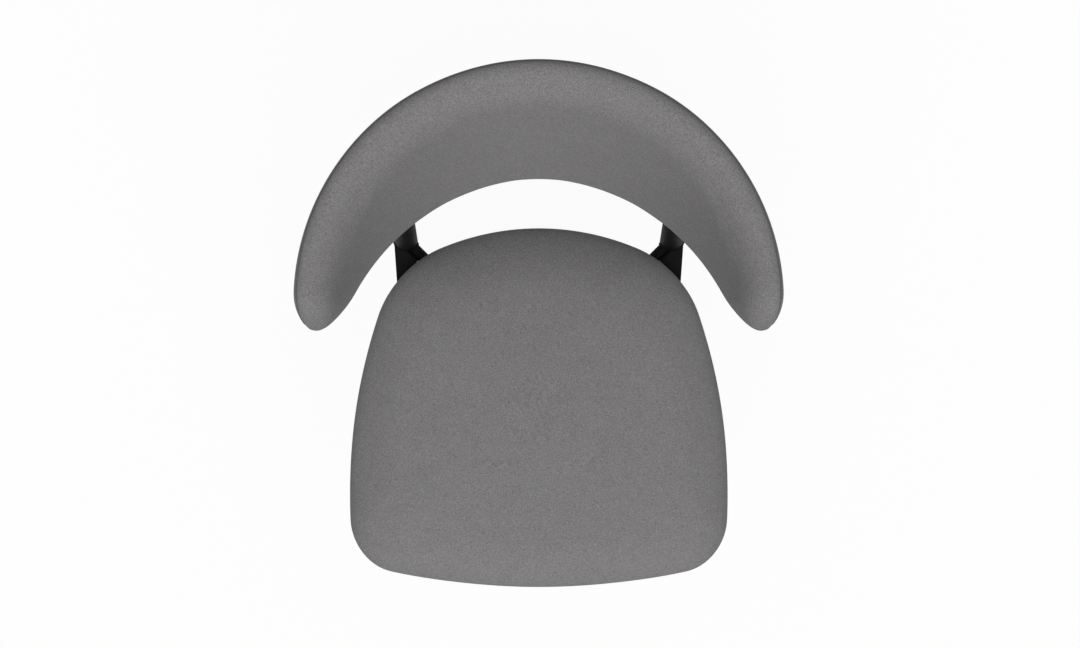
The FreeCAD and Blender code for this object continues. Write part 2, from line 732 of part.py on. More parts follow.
FIXINGS = {side: BackFixing(side) for _, side in SIDES}
soft_spaces = []
for word, side in SIDES:
    fixing = FIXINGS[side]
    tube = bent_tube("rear_tube_" + word, fixing)
    node(cut("rear_tube_trim_" + word, tube, below_floor), "rear_leg_" + word)
    rear_space = post_space("rear_space_" + word, fixing, "weld_gap")
    soft_spaces.append(post_space("rear_soft_space_" + word, fixing, "soft_gap"))
    node(straight_leg("front_tube_" + word, side, "0", 0.0, True), "front_leg_" + word)
    front_space = straight_leg("front_space_" + word, side, "#weld_gap", size("weld_gap"), False)
    cross_arm("cross_arm_rear_" + word, rear_joint(side), rear_space)
    cross_arm("cross_arm_front_" + word, front_leg_top(side), front_space)
    bracket("rear_seat_bracket_" + word, side, rear_space)
    half = size("front_bolt_spacing") / 2
    node(plate("front_plate_" + word, "front_plate_width", "front_plate_length", "front_plate_corner",
               (V(0, -half, 0), V(0, half, 0)), level(front_leg_top(side), PLATE_Z)),
         "front_leg_plate_" + word)
    half = size("tongue_bolt_spacing") / 2
    seat_of_tongue = fixing.middle - fixing.out * (size("tongue_thickness") / 2)
    node(plate("tongue_" + word, "tongue_width", "tongue_length", "tongue_corner",
               (V(0, -half, 0), V(0, half, 0)),
               axes(seat_of_tongue, fixing.rise.cross(fixing.out), fixing.rise), "tongue_thickness"),
         "back_tongue_" + word)

hub_place = level(HUB, PLATE_Z)
node(plate("hub_plate_body", "hub_plate_width", "hub_plate_width", "hub_plate_corner",
           hub_bolt_spots(), hub_place),
     "hub_plate")
hub = new_body("hub_body")
hub_ring = new_sketch(hub, "hub_ring")
add_rectangle(hub_ring, "hub_width", "hub_width")
add_circle(hub_ring, "bore", "#hub_width / 2 - #hub_wall", size("hub_width") / 2 - size("hub_wall"))
pad(hub, hub_ring, "#cross_arm_diameter")
hub_low = V(0, HUB.y, PLATE_Z - size("cross_arm_diameter"))
hub.Placement = FreeCAD.Placement(hub_low, FreeCAD.Rotation(UP, ARM_TURN))
node(hub, "cross_hub")


# Glides: a round foot under each leg with a plug inside the tube


def glide(name, foot, leg_top):
    axis = (leg_top - foot).normalize()
    sole = cylinder(name + "_sole", "#tube_diameter / 2 + #glide_lip", "#glide_flange", foot, UP)
    collar = foot + axis * (size("glide_flange") / axis.z)
    plug_radius = "#tube_diameter / 2 - #tube_wall - #weld_gap"
    plug = cylinder(name + "_plug", plug_radius, "#glide_plug", collar, axis)
    return node(fuse(name + "_body", [sole, plug]), name)


for word, side in SIDES:
    fixing = FIXINGS[side]
    glide("glide_rear_" + word, fixing.foot, fixing.corner)
    glide("glide_front_" + word, V(side * size("front_foot_x"), FRONT_FOOT_Y, 0), front_leg_top(side))


# Fasteners: groups of equal pieces, each made about its own axis and set at its spots


def copies(solid, frames):
    """One copy of a solid at each frame."""
    placed = []
    for frame in frames:
        copy = solid.copy()
        copy.Placement = frame
        placed.append(copy)
    return placed


def group(name, solid, frames):
    """A node that is a group of separate equal solids."""
    return node(feature(name + "_group", Part.makeCompound(copies(solid, frames))), name)


def disc(radius, height, lift=0.0):
    return Part.makeCylinder(radius, height, V(0, 0, lift))


def bolt_solid(grip):
    """A bolt whose head lies below its own origin, with a shank that fills the grip."""
    head = disc(size("bolt_head_diameter") / 2, size("bolt_head_height"), -size("bolt_head_height"))
    return head.fuse(disc(BOLT_R, grip)).removeSplitter()


def nut_solid(depth):
    """A tee nut whose flange lies just below its own origin and whose barrel goes down."""
    flange = size("nut_flange_thickness")
    rim = disc(size("nut_flange_diameter") / 2, flange, -flange)
    barrel = disc(size("nut_barrel_diameter") / 2, depth - flange, -depth)
    bore = disc(BOLT_R + size("bolt_gap") / 2, depth, -depth)
    return rim.fuse(barrel).removeSplitter().cut(bore)


washer = disc(size("washer_diameter") / 2, size("washer_thickness"))
washer = washer.cut(disc(BOLT_R + size("bolt_gap"), size("washer_thickness")))
washer_z = PLATE_Z - size("washer_thickness")
seat_grip = size("washer_thickness") + STACK + size("seat_board_thickness")
group("seat_washers", washer, [level(spot, washer_z) for spot in SEAT_BOLTS])
group("seat_bolts", bolt_solid(seat_grip), [level(spot, washer_z) for spot in SEAT_BOLTS])
group("seat_t_nuts", nut_solid(size("seat_board_thickness")), [level(spot, board_top) for spot in SEAT_BOLTS])

bolt_frames, nut_frames, tongue_spaces = [], [], []
for _, side in SIDES:
    fixing = FIXINGS[side]
    turned = FreeCAD.Rotation(UP, -fixing.out)
    grown = size("soft_gap")
    half = size("tongue_thickness") / 2
    core_front = half + size("tongue_gap") + size("core_thickness")
    for end in (-1, 1):
        spot = fixing.middle + fixing.rise * (end * size("tongue_bolt_spacing") / 2)
        bolt_frames.append(FreeCAD.Placement(spot + fixing.out * half, turned))
        nut_frames.append(FreeCAD.Placement(spot - fixing.out * core_front, turned))
    space = Part.makeBox(size("tongue_width") + 2 * grown, size("tongue_length") + 2 * grown,
                         size("tongue_thickness") + 2 * grown)
    corner = fixing.middle - fixing.rise * (size("tongue_length") / 2 + grown)
    across = fixing.rise.cross(fixing.out)
    corner = corner - across * (size("tongue_width") / 2 + grown)
    corner = corner - fixing.out * (half + grown)
    space.Placement = axes(corner, across, fixing.rise)
    tongue_spaces.append(space)
back_grip = size("tongue_thickness") + size("tongue_gap") + size("core_thickness")
group("back_bolts", bolt_solid(back_grip), bolt_frames)
group("back_t_nuts", nut_solid(size("core_thickness")), nut_frames)


# Back pieces: the lofts, less the room for posts, tongues, bolts and nuts


doc.recompute()
post_rooms = [space.Shape for space in soft_spaces]
head_height = size("bolt_head_height") + size("soft_gap")
head_room = disc(size("bolt_head_diameter") / 2 + size("bolt_gap"), head_height, -head_height)
head_rooms = copies(head_room, bolt_frames)
flange_depth = size("nut_flange_thickness")
flange_room = disc(size("nut_flange_diameter") / 2 + size("bolt_gap"), 2 * flange_depth, -flange_depth)
barrel_depth = size("core_thickness") + size("tongue_gap")
barrel_room = disc(size("nut_barrel_diameter") / 2 + size("bolt_gap"), barrel_depth, -barrel_depth)
nut_rooms = copies(flange_room.fuse(barrel_room), nut_frames)
node(feature("back_core_panel", core.cut(post_rooms + nut_rooms)), "back_core")
node(feature("back_foam_front_slab", foam_front.cut(post_rooms + nut_rooms)), "back_foam_front")
rear_rooms = post_rooms + tongue_spaces + head_rooms + nut_rooms
node(feature("back_foam_rear_slab", foam_rear.cut(rear_rooms)), "back_foam_rear")
node(feature("back_cover_shell", back_outside.cut(back_inside).cut(post_rooms)), "back_cover")

doc.recompute()
for obj in doc.Objects:
    if "Invalid" in obj.State or "Error" in obj.State:
        raise RuntimeError("failed to build: " + obj.Name)
for obj in NODES:
    if obj.Shape.isNull() or not obj.Shape.isValid():
        raise RuntimeError("bad shape: " + obj.Label)

os.makedirs("parts", exist_ok=True)
for obj in NODES:
    obj.Shape.exportStep("parts/%s.step" % obj.Label)
    print(obj.Label, len(obj.Shape.Solids), round(obj.Shape.Volume / 1000, 2))
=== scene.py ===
import math

import bmesh
import bpy
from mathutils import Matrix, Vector, noise


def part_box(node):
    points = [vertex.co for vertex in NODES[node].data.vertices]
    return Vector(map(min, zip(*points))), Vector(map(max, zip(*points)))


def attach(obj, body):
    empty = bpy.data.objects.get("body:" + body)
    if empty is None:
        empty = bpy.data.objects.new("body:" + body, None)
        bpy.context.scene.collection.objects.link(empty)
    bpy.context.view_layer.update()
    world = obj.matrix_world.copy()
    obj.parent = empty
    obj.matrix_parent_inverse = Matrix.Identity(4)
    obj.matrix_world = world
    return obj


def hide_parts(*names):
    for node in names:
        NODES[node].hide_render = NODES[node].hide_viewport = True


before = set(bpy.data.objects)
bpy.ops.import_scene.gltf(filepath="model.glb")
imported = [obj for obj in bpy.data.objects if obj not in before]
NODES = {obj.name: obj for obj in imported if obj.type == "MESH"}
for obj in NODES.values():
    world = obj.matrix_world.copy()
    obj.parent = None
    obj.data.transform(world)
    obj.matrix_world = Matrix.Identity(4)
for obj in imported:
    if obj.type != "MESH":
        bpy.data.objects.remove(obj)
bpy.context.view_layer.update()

X_WAY = Vector((1, 0, 0))
Y_WAY = Vector((0, 1, 0))
UP = Vector((0, 0, 1))

# Sizes in metres that the chair's solids share
TUBE_R = 0.014
ARM_R = 0.0075
SEAT_REAR_RADIUS = 0.299
SEAT_REAR_CORNER = 0.137
SEAT_SIDE_RADIUS = 0.631
SEAT_FRONT_CORNER = 0.067
SEAT_FRONT_RADIUS = 0.761
SEAT_WIDEST_FROM_FRONT = 0.121
BACK_RADIUS = 0.255
BACK_HALF = 0.024
BACK_END = 0.019
BACK_BOTTOM = 0.522
BACK_INNER_RADIUS = 0.140
ARM_INNER_RADIUS = 0.201
ARM_BOTTOM = 0.640
ARM_SWEEP = 97.0
ARM_TIP = 0.040
QUARTER = 90.0
INNER_POWER = 2.15
BOTTOM_POWER = 2.5

seat_low, seat_high = (Vector(corner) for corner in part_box("seat_cover"))
back_high = Vector(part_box("back_cover")[1])
lining_low, lining_high = (Vector(corner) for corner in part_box("seat_lining"))
hub_low, hub_high = (Vector(corner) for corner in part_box("cross_hub"))
BACK_CENTRE = Vector((0, back_high.y - BACK_RADIUS, 0))
SEAT_CENTRE = Vector((0, (seat_low.y + seat_high.y) / 2, 0))


# Materials


class Shader:
    """A small helper that builds one node material from a Principled shader."""

    def __init__(self, name):
        self.material = bpy.data.materials.new(name)
        self.material.use_nodes = True
        self.tree = self.material.node_tree
        self.main = self.tree.nodes["Principled BSDF"]

    def add(self, kind, **values):
        """A new node of a kind, with its own properties set."""
        made = self.tree.nodes.new("ShaderNode" + kind)
        for key, value in values.items():
            setattr(made, key, value)
        return made

    def join(self, source, target):
        self.tree.links.new(source, target)

    def set(self, **values):
        """Constants on the main shader's own sockets, with underscores for spaces."""
        for key, value in values.items():
            self.main.inputs[key.replace("_", " ")].default_value = value

    def position(self):
        return self.add("TexCoord").outputs["Object"]

    def noise(self, scale, detail=2.0, roughness=0.5, where=None):
        """Soft random spots, with a number of spots to the metre."""
        made = self.add("TexNoise")
        made.inputs["Scale"].default_value = scale
        made.inputs["Detail"].default_value = detail
        made.inputs["Roughness"].default_value = roughness
        self.join(where or self.position(), made.inputs["Vector"])
        return made.outputs["Fac"]

    def cells(self, scale, randomness=1.0, where=None):
        """The distance from the middle of random cells, with a number of cells to the metre."""
        made = self.add("TexVoronoi")
        made.inputs["Scale"].default_value = scale
        made.inputs["Randomness"].default_value = randomness
        self.join(where or self.position(), made.inputs["Vector"])
        return made.outputs["Distance"]

    def ramp(self, value, low, high, dark, light):
        """A colour ramp between two colours over a stretch of the value."""
        made = self.add("ValToRGB")
        made.color_ramp.elements[0].position = low
        made.color_ramp.elements[1].position = high
        made.color_ramp.elements[0].color = (*dark, 1)
        made.color_ramp.elements[1].color = (*light, 1)
        self.join(value, made.inputs["Fac"])
        return made.outputs["Color"]

    def span(self, value, low, high):
        """A value from 0 to 1 spread over a stretch from low to high."""
        made = self.add("MapRange")
        made.inputs["To Min"].default_value = low
        made.inputs["To Max"].default_value = high
        self.join(value, made.inputs["Value"])
        return made.outputs["Result"]

    def math(self, operation, first, second):
        made = self.add("Math", operation=operation)
        for socket, value in zip(made.inputs, (first, second)):
            if isinstance(value, (int, float)):
                socket.default_value = value
            else:
                self.join(value, socket)
        return made.outputs[0]

    def vector(self, operation, *values):
        made = self.add("VectorMath", operation=operation)
        for socket, value in zip(made.inputs, values):
            if isinstance(value, tuple):
                socket.default_value = value
            else:
                self.join(value, socket)
        scalar = operation in ("DOT_PRODUCT", "LENGTH")
        return made.outputs["Value" if scalar else "Vector"]

    def multiply(self, first, second, share=1.0):
        made = self.add("Mix", data_type="RGBA", blend_type="MULTIPLY")
        made.inputs["Factor"].default_value = share
        self.join(first, made.inputs["A"])
        self.join(second, made.inputs["B"])
        return made.outputs["Result"]

    def bump(self, height, strength, distance):
        made = self.add("Bump")
        made.inputs["Strength"].default_value = strength
        made.inputs["Distance"].default_value = distance
        self.join(height, made.inputs["Height"])
        self.join(made.outputs["Normal"], self.main.inputs["Normal"])

    def color(self, value):
        self.join(value, self.main.inputs["Base Color"])

    def roughness(self, value):
        self.join(value, self.main.inputs["Roughness"])


def grey(level, warm=0.0):
    return (level * (1 + warm), level, level * (1 + warm / 2))


YARN_PITCH = 0.0011
YARN_TURNS = 2 * math.pi / YARN_PITCH
YARN_DRIFT = 0.0012
DRIFT_SCALE = 260


def yarns(cloth, where):
    """Crossed yarns on faces of any direction, from 0.5 in the gaps to 1 on the yarns."""
    wobble = cloth.add("TexNoise")
    wobble.inputs["Scale"].default_value = DRIFT_SCALE
    cloth.join(where, wobble.inputs["Vector"])
    drift = cloth.vector("MULTIPLY", wobble.outputs["Color"], (YARN_DRIFT, YARN_DRIFT, YARN_DRIFT))
    bent = cloth.vector("ADD", where, drift)
    turns = cloth.vector("MULTIPLY", bent, (YARN_TURNS, YARN_TURNS, YARN_TURNS))
    waves = cloth.vector("SINE", turns)
    parts = cloth.add("SeparateXYZ")
    cloth.join(waves, parts.inputs[0])
    x, y, z = parts.outputs
    crossed = cloth.add("CombineXYZ")
    for socket, pair in zip(crossed.inputs, ((y, z), (z, x), (x, y))):
        cloth.join(cloth.math("MULTIPLY", *pair), socket)
    facing = cloth.add("NewGeometry").outputs["Normal"]
    weight = cloth.vector("MULTIPLY", facing, facing)
    return cloth.span(cloth.vector("DOT_PRODUCT", crossed.outputs[0], weight), low=0.5, high=1.0)


def fabric_material():
    """Grey melange wool felt: fine crossed yarns, light and dark fibres, cloudy patches, and painted shade
    along the back's seam.
    """
    cloth = Shader("grey_melange_fabric")
    where = cloth.position()
    weave = yarns(cloth, where)
    fibres = cloth.noise(scale=1500, detail=3.0, roughness=0.7, where=where)
    specks = cloth.noise(scale=640, detail=2.0, roughness=0.65, where=where)
    clouds = cloth.noise(scale=60, detail=3.0, roughness=0.55, where=where)
    # The seam attribute darkens the cloth along the back's seam: painted shade in the seam's groove, on top
    # of the real dent.
    seam = cloth.add("Attribute", attribute_name="seam").outputs["Fac"]
    shade = cloth.ramp(fibres, low=0.28, high=0.72, dark=grey(0.141, 0.02), light=grey(0.296, 0.03))
    layers = (
        cloth.ramp(specks, low=0.34, high=0.66, dark=grey(0.69), light=grey(1.12)),
        cloth.ramp(clouds, low=0.3, high=0.7, dark=grey(0.95), light=grey(1.0)),
        cloth.ramp(weave, low=0.0, high=1.0, dark=grey(0.9), light=grey(1.0)),
        # painted shade: darker along the seam's groove
        cloth.ramp(seam, low=0.1, high=1.0, dark=grey(1.0), light=grey(0.55)),
    )
    for layer in layers:
        shade = cloth.multiply(shade, layer)
    cloth.color(shade)
    cloth.roughness(cloth.span(fibres, low=0.82, high=1.0))
    cloth.set(Specular_IOR_Level=0.15, Sheen_Weight=0.06, Sheen_Roughness=0.5)
    cloth.bump(cloth.math("ADD", weave, fibres), strength=0.35, distance=0.0004)
    return cloth.material


def powder_coat_material():
    """Satin black powder coat with a slight orange peel and rubbed patches."""
    coat = Shader("satin_black_powder_coat")
    patches = coat.noise(scale=35, detail=4.0, roughness=0.6)
    peel = coat.noise(scale=900)
    coat.color(coat.ramp(patches, low=0.3, high=0.75, dark=grey(0.0032), light=grey(0.0070)))
    coat.roughness(coat.span(patches, low=0.55, high=0.75))
    coat.set(Specular_IOR_Level=0.07)
    coat.bump(peel, strength=0.25, distance=0.00015)
    return coat.material


def plastic_material():
    """Moulded black plastic with a fine spark-eroded grain and scuffs."""
    plastic = Shader("black_moulded_plastic")
    scuffs = plastic.noise(scale=140, detail=5.0, roughness=0.7)
    grain = plastic.noise(scale=1800, detail=1.0)
    plastic.color(plastic.ramp(scuffs, low=0.35, high=0.8, dark=grey(0.01), light=grey(0.028)))
    plastic.roughness(plastic.span(scuffs, low=0.45, high=0.75))
    plastic.bump(grain, strength=0.3, distance=0.0002)
    return plastic.material


def zinc_material():
    """Zinc-plated steel: bluish grey metal with a spangled, slightly scratched face."""
    zinc = Shader("zinc_plated_steel")
    spangle = zinc.cells(scale=700)
    zinc.color(zinc.ramp(spangle, low=0.0, high=0.9, dark=(0.42, 0.44, 0.46), light=(0.62, 0.64, 0.66)))
    zinc.roughness(zinc.span(zinc.noise(scale=300, detail=4.0, roughness=0.7), low=0.25, high=0.5))
    zinc.set(Metallic=1.0)
    zinc.bump(zinc.noise(scale=2200), strength=0.2, distance=0.0001)
    return zinc.material


GRAIN_STRETCH = (14.0, 120.0, 120.0)
PLY_SCALE = 105


def plywood_material():
    """Birch plywood: pale veneers with brown glue lines between the plies and a long grain."""
    wood = Shader("birch_plywood")
    where = wood.position()
    stretched = wood.vector("MULTIPLY", where, GRAIN_STRETCH)
    grain = wood.noise(scale=1.0, detail=5.0, roughness=0.6, where=stretched)
    plies = wood.add("TexWave", bands_direction="Z")
    plies.inputs["Scale"].default_value = PLY_SCALE
    wood.join(where, plies.inputs["Vector"])
    face = wood.ramp(grain, low=0.3, high=0.7, dark=(0.46, 0.30, 0.16), light=(0.66, 0.48, 0.29))
    glue = wood.ramp(plies.outputs["Fac"], low=0.0, high=0.4, dark=grey(0.55), light=grey(1.0))
    wood.color(wood.multiply(face, glue, share=0.6))
    wood.roughness(wood.span(grain, low=0.5, high=0.7))
    wood.bump(grain, strength=0.3, distance=0.0004)
    return wood.material


def lining_material():
    """Black non-woven bottom cloth: pressed fibres with a grid of bonded dots."""
    felt = Shader("non_woven_lining")
    where = felt.position()
    fibres = felt.noise(scale=700, detail=4.0, roughness=0.7, where=where)
    dots = felt.cells(scale=500, randomness=0.15, where=where)
    shade = felt.ramp(fibres, low=0.3, high=0.7, dark=grey(0.012), light=grey(0.03))
    pressed = felt.ramp(dots, low=0.1, high=0.5, dark=grey(0.6), light=grey(1.0))
    felt.color(felt.multiply(shade, pressed))
    felt.roughness(felt.span(fibres, low=0.75, high=1.0))
    felt.set(Specular_IOR_Level=0.2)
    felt.bump(felt.math("ADD", fibres, dots), strength=0.4, distance=0.0004)
    return felt.material


def foam_material():
    """Cut polyurethane foam with open cells."""
    foam = Shader("cut_foam")
    cells = foam.cells(scale=900)
    foam.color(foam.ramp(cells, low=0.0, high=0.6, dark=(0.55, 0.50, 0.36), light=(0.80, 0.75, 0.58)))
    foam.roughness(foam.span(cells, low=0.8, high=1.0))
    foam.bump(cells, strength=0.5, distance=0.0005)
    return foam.material


FABRIC = fabric_material()
POWDER = powder_coat_material()
PLASTIC = plastic_material()
ZINC = zinc_material()
PLYWOOD = plywood_material()
LINING = lining_material()
FOAM = foam_material()

FINISHES = (
    (("glide",), PLASTIC),
    (("bolts", "washers", "nuts"), ZINC),
    (("board", "core"), PLYWOOD),
    (("foam",), FOAM),
    (("cover",), FABRIC),
    (("lining",), LINING),
    (("leg", "arm", "hub", "plate", "bracket", "tongue"), POWDER),
)


def finish_of(name):
    """The finish of a solid by the word in its name; frame pieces come last in the list."""
    return next(material for words, material in FINISHES if any(word in name for word in words))


for name, obj in NODES.items():
    obj.data.materials.clear()
    obj.data.materials.append(finish_of(name))


# Mesh pieces


def piece(name, mesh, material):
    """A finished mesh object that rides on the chair."""
    obj = bpy.data.objects.new(name, mesh)
    bpy.context.scene.collection.objects.link(obj)
    mesh.materials.clear()
    mesh.materials.append(material)
    for face in mesh.polygons:
        face.use_smooth = True
    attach(obj, "root")
    return obj


def ring_mesh(name, rings, closed=False):
    """A skin over rings of equal length; single-point rings close the ends."""
    work = bmesh.new()
    rows = [[work.verts.new(point) for point in ring] for ring in rings]
    pairs = list(zip(rows, rows[1:]))
    if closed:
        pairs.append((rows[-1], rows[0]))
    for first, second in pairs:
        count = max(len(first), len(second))
        for i in range(count):
            j = (i + 1) % count
            if len(first) == 1:
                work.faces.new((first[0], second[j], second[i]))
            elif len(second) == 1:
                work.faces.new((first[i], first[j], second[0]))
            else:
                work.faces.new((first[i], first[j], second[j], second[i]))
    bmesh.ops.recalc_face_normals(work, faces=work.faces)
    mesh = bpy.data.meshes.new(name)
    work.to_mesh(mesh)
    work.free()
    return mesh


def applied(mesh, *modifiers):
    """The mesh with modifiers applied, each given as its kind and its settings."""
    holder = bpy.data.objects.new("holder", mesh)
    bpy.context.scene.collection.objects.link(holder)
    for kind, settings in modifiers:
        modifier = holder.modifiers.new(kind.lower(), kind)
        for key, value in settings.items():
            setattr(modifier, key, value)
    depsgraph = bpy.context.evaluated_depsgraph_get()
    result = bpy.data.meshes.new_from_object(holder.evaluated_get(depsgraph))
    bpy.data.objects.remove(holder)
    return result


PRESSURE = 4.0
STRETCH_STIFFNESS = 40
BEND_STIFFNESS = 4
CLOTH_QUALITY = 5
FRAMES = 20
SINK_SHARE = 0.2
EVEN_ROUNDS = 6


def evened(mesh, amounts, is_fixed):
    """Amounts at the vertices, averaged a few times with their neighbours, apart from fixed ones."""
    near = [[] for _ in amounts]
    for edge in mesh.edges:
        first, second = edge.vertices
        near[first].append(second)
        near[second].append(first)
    for _ in range(EVEN_ROUNDS):
        means = [sum(amounts[other] for other in others) / len(others) for others in near]
        amounts = [amount if is_fixed(vertex.co) else (amount + mean) / 2
                   for amount, mean, vertex in zip(amounts, means, mesh.vertices)]
    return amounts


def puffed(mesh, cap, is_pinned):
    """The mesh blown up as cloth over foam: held where pinned, evenly swollen by up to a cap."""
    start = [vertex.co.copy() for vertex in mesh.vertices]
    outward = [vertex.normal.copy() for vertex in mesh.vertices]
    holder = bpy.data.objects.new("cloth", mesh)
    bpy.context.scene.collection.objects.link(holder)
    pins = holder.vertex_groups.new(name="pins")
    pins.add([i for i, point in enumerate(start) if is_pinned(point)], 1.0, "REPLACE")
    cloth = holder.modifiers.new("cloth", "CLOTH")
    cloth.settings.quality = CLOTH_QUALITY
    cloth.settings.use_pressure = True
    cloth.settings.uniform_pressure_force = PRESSURE
    cloth.settings.vertex_group_mass = "pins"
    cloth.settings.tension_stiffness = STRETCH_STIFFNESS
    cloth.settings.compression_stiffness = STRETCH_STIFFNESS
    cloth.settings.bending_stiffness = BEND_STIFFNESS
    cloth.settings.effector_weights.gravity = 0
    scene = bpy.context.scene
    for step in range(1, FRAMES + 1):
        scene.frame_set(step)
    depsgraph = bpy.context.evaluated_depsgraph_get()
    moved = holder.evaluated_get(depsgraph).to_mesh()
    ends = [vertex.co.copy() for vertex in moved.vertices]
    scene.frame_set(1)
    bpy.data.objects.remove(holder)
    swells = [max(-cap * SINK_SHARE, min(cap, (new - old).dot(way)))
              for old, new, way in zip(start, ends, outward)]
    swells = evened(mesh, swells, is_pinned)
    for vertex, old, way, swell in zip(mesh.vertices, start, outward, swells):
        vertex.co = old + way * swell
    return applied(mesh, ("SUBSURF", {"levels": 1, "render_levels": 1}))


# Seat cushion


def meeting(centre_a, reach_a, centre_b, reach_b, toward):
    """The point at two distances from two centres, on the side that lies towards a direction."""
    span = centre_b - centre_a
    along = (reach_a ** 2 - reach_b ** 2 + span.length ** 2) / (2 * span.length)
    side = UP.cross(span.normalized()) * math.sqrt(reach_a ** 2 - along ** 2)
    foot = centre_a + span.normalized() * along
    return max((foot + side, foot - side), key=lambda point: point.dot(toward))


def bearing(centre, point):
    return math.atan2(point.y - centre.y, point.x - centre.x)


def seat_arcs(inset):
    """Centre, radius, start and end angle of each arc, counter-clockwise from the front arc."""
    rear_r, corner_r = SEAT_REAR_RADIUS, SEAT_REAR_CORNER
    side_r, front_corner, front_r = SEAT_SIDE_RADIUS, SEAT_FRONT_CORNER, SEAT_FRONT_RADIUS
    rear = Vector((0, seat_high.y - rear_r, 0))
    side = Vector((seat_high.x - side_r, seat_low.y + SEAT_WIDEST_FROM_FRONT, 0))
    front = Vector((0, seat_low.y + front_r, 0))
    corner_a = meeting(rear, rear_r - corner_r, side, side_r - corner_r, Vector((1, 1, 0)))
    corner_b = meeting(side, side_r - front_corner, front, front_r - front_corner, Vector((1, -1, 0)))
    at_rear, at_side = bearing(rear, corner_a), bearing(side, corner_a)
    at_low, at_front = bearing(side, corner_b), bearing(front, corner_b)
    right = (
        (corner_b, front_corner - inset, at_front, at_low),
        (side, side_r - inset, at_low, at_side),
        (corner_a, corner_r - inset, at_side, at_rear),
    )
    left = [(Vector((-c.x, c.y, 0)), r, math.pi - b, math.pi - a) for c, r, a, b in reversed(right)]
    front_arc = (front, front_r - inset, -math.pi - at_front, at_front)
    rear_arc = (rear, rear_r - inset, at_rear, math.pi - at_rear)
    return [front_arc, *right, rear_arc, *left]


ARC_STEPS = 14


def seat_outline(inset):
    """Points round the seat's outline, drawn in by an inset."""
    points = []
    for centre, radius, start, end in seat_arcs(inset):
        for step in range(ARC_STEPS):
            turn = start + (end - start) * step / ARC_STEPS
            points.append(centre + Vector((math.cos(turn), math.sin(turn), 0)) * radius)
    return points


SEAT_CROWN = 0.016
SEAT_SQUARENESS = 2.15
SEAT_WAIST = 0.012
SEAT_TUCK = 0.016
SEAT_SOLE = 0.0006
SEAT_PINNED = 0.004
TOP_RINGS = 14
EDGE_RINGS = 12
TUCK_RINGS = 6
SOLE_SHARES = (0.3, 0.6, 0.85)
EDGE_SIDE = 0.072
EDGE_REAR = 0.078
EDGE_FRONT = 0.056
SEAT_GROW = 0.0014
SEAT_CAP = 0.0025
CORNER_GROW = 0.0024
CORNER_TURN = math.radians(45)
CORNER_SPREAD = math.radians(15)


def filled_corner(point):
    """A point of the seat's outline, pushed out a little where the padding fills the front corners."""
    away = point - SEAT_CENTRE
    past = (math.atan2(abs(away.x), -away.y) - CORNER_TURN) / CORNER_SPREAD
    return point + away.normalized() * (CORNER_GROW * math.exp(-past ** 2))


def edge_width(point):
    """How far the round of the seat's upper edge reaches in, by the side that a point lies on."""
    away = point - SEAT_CENTRE
    forward = away.y / away.length
    target = EDGE_FRONT if forward < 0 else EDGE_REAR
    return EDGE_SIDE + (target - EDGE_SIDE) * forward ** 2


def seat_rings():
    """Rings from the middle of the top, over the edge, to the middle of the underside."""
    outline = [filled_corner(point) for point in seat_outline(-SEAT_GROW)]
    top = seat_high.z - SEAT_CAP
    waist = seat_low.z + SEAT_WAIST
    sole = seat_low.z + SEAT_SOLE

    def ring(inset_of, height_of):
        points = []
        for point in outline:
            away = point - SEAT_CENTRE
            reach = max(0.0, 1 - inset_of(point) / away.length)
            spot = SEAT_CENTRE + away * reach
            points.append(Vector((spot.x, spot.y, height_of(reach))))
        return points

    def crown(reach):
        return top - SEAT_CROWN * reach ** 2

    rings = [[Vector((0, SEAT_CENTRE.y, top))]]
    for step in range(1, TOP_RINGS):
        share = step / TOP_RINGS
        rings.append(ring(
            lambda point: (point - SEAT_CENTRE).length * (1 - share) + edge_width(point) * share, crown))
    power = 2 / SEAT_SQUARENESS
    for step in range(EDGE_RINGS + 1):
        turn = math.pi / 2 * step / EDGE_RINGS
        inward, rise = 1 - math.sin(turn) ** power, math.cos(turn) ** power
        rings.append(ring(
            lambda point: edge_width(point) * inward,
            lambda reach: waist + (crown(reach) - waist) * rise))
    for step in range(1, TUCK_RINGS + 1):
        turn = math.pi / 2 * step / TUCK_RINGS
        rings.append(ring(
            lambda point: SEAT_TUCK * (1 - math.cos(turn)),
            lambda reach: waist - (waist - sole) * math.sin(turn)))
    for share in SOLE_SHARES:
        rings.append(ring(
            lambda point: SEAT_TUCK + ((point - SEAT_CENTRE).length - SEAT_TUCK) * share,
            lambda reach: sole))
    rings.append([Vector((0, SEAT_CENTRE.y, sole))])
    return rings


seat_mesh = puffed(ring_mesh("seat_start", seat_rings()), SEAT_CAP,
                   lambda point: point.z < seat_low.z + SEAT_PINNED)
for vertex in seat_mesh.vertices:
    vertex.co.z = max(vertex.co.z, seat_low.z + SEAT_SOLE)
seat = piece("seat_cushion", seat_mesh, FABRIC)
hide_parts("seat_cover", "seat_foam")


# Back cushion

FACE_STEPS = 24
END_STEPS = 12
CREST_STEPS = 6
ROLL_STEPS = 14
ROLL_HEIGHT = 0.046
ROLL_SHARE = 0.4
ROLL_CREST = 0.26
TIP_SWEEP = math.degrees(ARM_TIP / (BACK_RADIUS - BACK_HALF))
TIP_START = ARM_SWEEP - TIP_SWEEP
BACK_STEP = 2.5
TIP_STEPS = 9
TIP_CLOSE = 85.0
TIP_LEAST = 0.002
BACK_SHRINK = 0.0003


